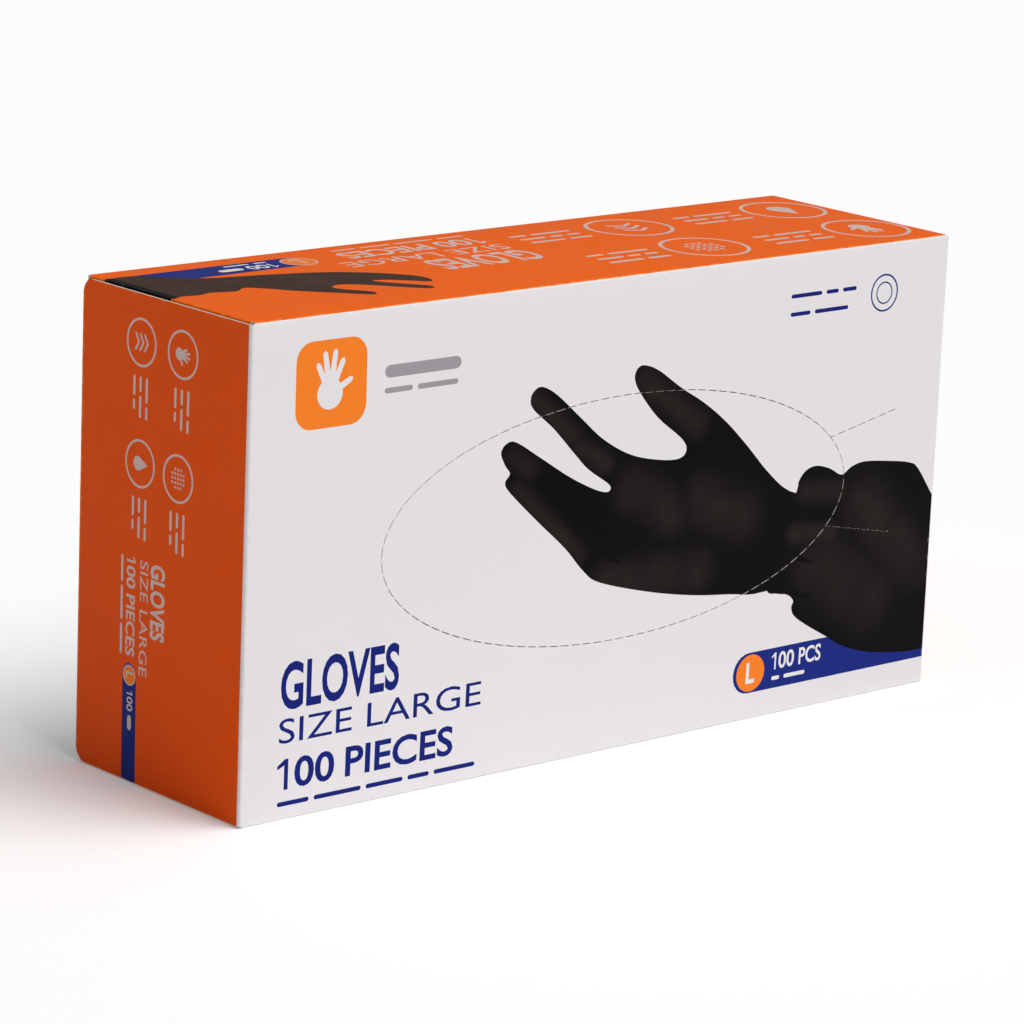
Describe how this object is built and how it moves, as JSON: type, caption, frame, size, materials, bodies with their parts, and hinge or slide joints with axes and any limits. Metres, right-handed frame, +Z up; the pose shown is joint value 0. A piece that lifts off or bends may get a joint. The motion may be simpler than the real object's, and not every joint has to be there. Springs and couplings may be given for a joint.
{
  "type": "disposable glove dispenser carton",
  "caption": "Folding board carton that holds and dispenses disposable gloves through a perforated oval in its front, with glued end flaps and a stack of flat gloves inside.",
  "frame": {"origin": "middle of the bottom face, where the carton stands", "axes": "+X along the carton's length to the right as seen from the front, -Y out of the front with the oval, +Z up"},
  "size_m": [0.24, 0.069, 0.127],
  "materials": {
    "white_print": "coated white folding boxboard with print",
    "orange_print": "coated folding boxboard printed orange",
    "bare_board": "uncoated grey-white board",
    "hot_melt_glue": "translucent cream adhesive",
    "nitrile": "matt black nitrile film"
  },
  "bodies": {
    "carton": {"front_panel": "white_print", "top_panel": "orange_print", "back_panel": "white_print", "bottom_panel": "orange_print", "seam_flap": "bare_board", "seam_glue": "hot_melt_glue", "gloves_01": "nitrile", "gloves_02": "nitrile", "gloves_03": "nitrile", "gloves_04": "nitrile", "gloves_05": "nitrile", "gloves_06": "nitrile", "gloves_07": "nitrile", "gloves_08": "nitrile", "gloves_09": "nitrile", "gloves_10": "nitrile"},
    "tear_out": {"tear_out_panel": "white_print"},
    "tab": {"thumb_tab": "white_print"},
    "left_outer": {"left_outer_flap": "orange_print"},
    "left_inner": {"left_inner_flap": "white_print", "left_end_glue": "hot_melt_glue"},
    "left_top_dust": {"left_top_dust_flap": "orange_print"},
    "left_bottom_dust": {"left_bottom_dust_flap": "orange_print"},
    "right_outer": {"right_outer_flap": "orange_print"},
    "right_inner": {"right_inner_flap": "white_print", "right_end_glue": "hot_melt_glue"},
    "right_top_dust": {"right_top_dust_flap": "orange_print"},
    "right_bottom_dust": {"right_bottom_dust_flap": "orange_print"}
  },
  "joints": [
    {"name": "tear_out_pull", "type": "slide", "parent": "carton", "child": "tear_out", "axis": [0, -1, 0], "range_m": [0, 0.08]},
    {"name": "thumb_tab_fold", "type": "hinge", "parent": "carton", "child": "tab", "pos_m": [0.102, -0.03425, 0.063], "axis": [0, 0, -1], "range_deg": [-45, 15]},
    {"name": "left_end_open", "type": "hinge", "parent": "carton", "child": "left_outer", "pos_m": [-0.12, -0.0345, 0.0635], "axis": [0, 0, 1], "range_deg": [0, 180]},
    {"name": "left_inner_fold", "type": "hinge", "parent": "carton", "child": "left_inner", "pos_m": [-0.1193, 0.0345, 0.0635], "axis": [0, 0, -1], "range_deg": [0, 180]},
    {"name": "left_top_dust_fold", "type": "hinge", "parent": "carton", "child": "left_top_dust", "pos_m": [-0.1186, 0, 0.127], "axis": [0, 1, 0], "range_deg": [0, 90]},
    {"name": "left_bottom_dust_fold", "type": "hinge", "parent": "carton", "child": "left_bottom_dust", "pos_m": [-0.1186, 0, 0], "axis": [0, -1, 0], "range_deg": [0, 90]},
    {"name": "right_end_open", "type": "hinge", "parent": "carton", "child": "right_outer", "pos_m": [0.12, -0.0345, 0.0635], "axis": [0, 0, -1], "range_deg": [0, 180]},
    {"name": "right_inner_fold", "type": "hinge", "parent": "carton", "child": "right_inner", "pos_m": [0.1193, 0.0345, 0.0635], "axis": [0, 0, 1], "range_deg": [0, 180]},
    {"name": "right_top_dust_fold", "type": "hinge", "parent": "carton", "child": "right_top_dust", "pos_m": [0.1186, 0, 0.127], "axis": [0, -1, 0], "range_deg": [0, 90]},
    {"name": "right_bottom_dust_fold", "type": "hinge", "parent": "carton", "child": "right_bottom_dust", "pos_m": [0.1186, 0, 0], "axis": [0, 1, 0], "range_deg": [0, 90]}
  ],
  "couplings": [
    {"joint": "left_inner_fold", "follows": "left_end_open", "ratio": 1},
    {"joint": "left_top_dust_fold", "follows": "left_end_open", "ratio": 0.5},
    {"joint": "left_bottom_dust_fold", "follows": "left_end_open", "ratio": 0.5},
    {"joint": "right_inner_fold", "follows": "right_end_open", "ratio": 1},
    {"joint": "right_top_dust_fold", "follows": "right_end_open", "ratio": 0.5},
    {"joint": "right_bottom_dust_fold", "follows": "right_end_open", "ratio": 0.5}
  ]
}
